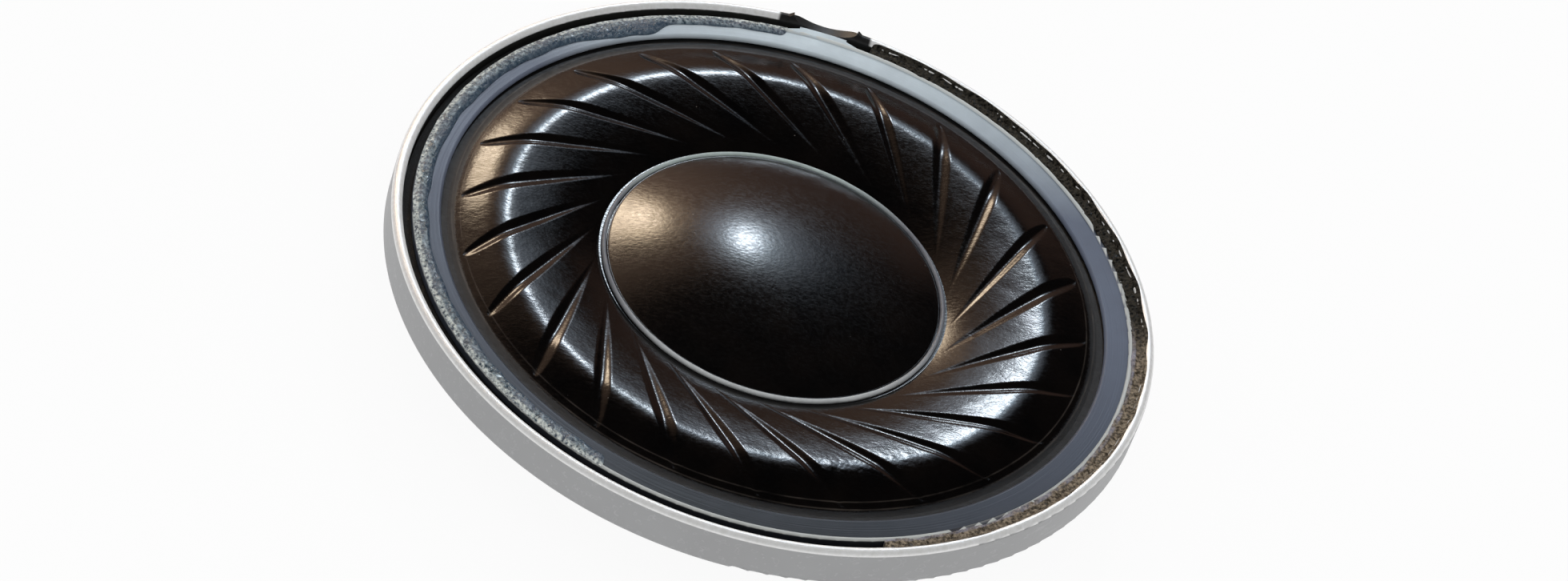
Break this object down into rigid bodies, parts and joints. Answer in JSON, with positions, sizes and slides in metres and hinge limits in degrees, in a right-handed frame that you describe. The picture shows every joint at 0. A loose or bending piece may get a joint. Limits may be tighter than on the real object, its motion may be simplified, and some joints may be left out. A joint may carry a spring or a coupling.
{
  "type": "miniature loudspeaker",
  "caption": "Round miniature loudspeaker: a ribbed film roll with a domed cap, clamped by a metal ring in a pressed steel frame, with a magnet and terminals behind.",
  "frame": {"origin": "centre of the yoke's flat back face, which the loudspeaker rests on", "axes": "+Z out of the front along the coil's axis; +Y towards the notch in the rim, with the terminal board behind it; +X to the right seen from the front"},
  "size_m": [0.04, 0.04, 0.006],
  "materials": {
    "plated_steel": "satin plated steel",
    "ring_steel": "blue-grey passivated steel",
    "pale_glue": "cured grey-blue glue, rough",
    "dark_glue": "dark crumbled glue",
    "black_fibre": "matt fibre",
    "film": "glossy dark brown film",
    "seam_glue": "thin pale glue line",
    "former_paper": "amber film",
    "copper_wire": "enamelled copper",
    "clear_glue": "yellowed clear glue",
    "nickel": "nickel plated magnet",
    "felt": "thin black felt",
    "board": "brown fibre board",
    "copper_pad": "copper foil",
    "brass": "tinned brass",
    "solder": "bright solder"
  },
  "bodies": {
    "basket": {"frame": "plated_steel", "front_ring": "ring_steel", "ring_adhesive": "pale_glue", "groove_adhesive": "dark_glue", "spacer_ring": "black_fibre", "surround": "film", "lead_wire_left": "copper_wire", "lead_wire_right": "copper_wire", "pole_plate": "plated_steel", "magnet": "nickel", "plate_bond": "clear_glue", "magnet_bond": "clear_glue", "yoke": "plated_steel", "yoke_adhesive": "clear_glue", "damping_felt": "felt", "terminal_board": "board", "solder_pads": "copper_pad", "terminal_rivets": "brass", "solder_joints": "solder"},
    "cone": {"dome": "film", "seam_adhesive": "seam_glue", "coil_former": "former_paper", "voice_coil": "copper_wire", "lead_anchors": "clear_glue"}
  },
  "joints": [
    {"name": "cone_travel", "type": "slide", "parent": "basket", "child": "cone", "axis": [0, 0, 1], "range_m": [-0.0004, 0.0004], "stiffness_N_per_m": 3000, "deforming": ["surround", "lead_wire_left", "lead_wire_right"]}
  ]
}
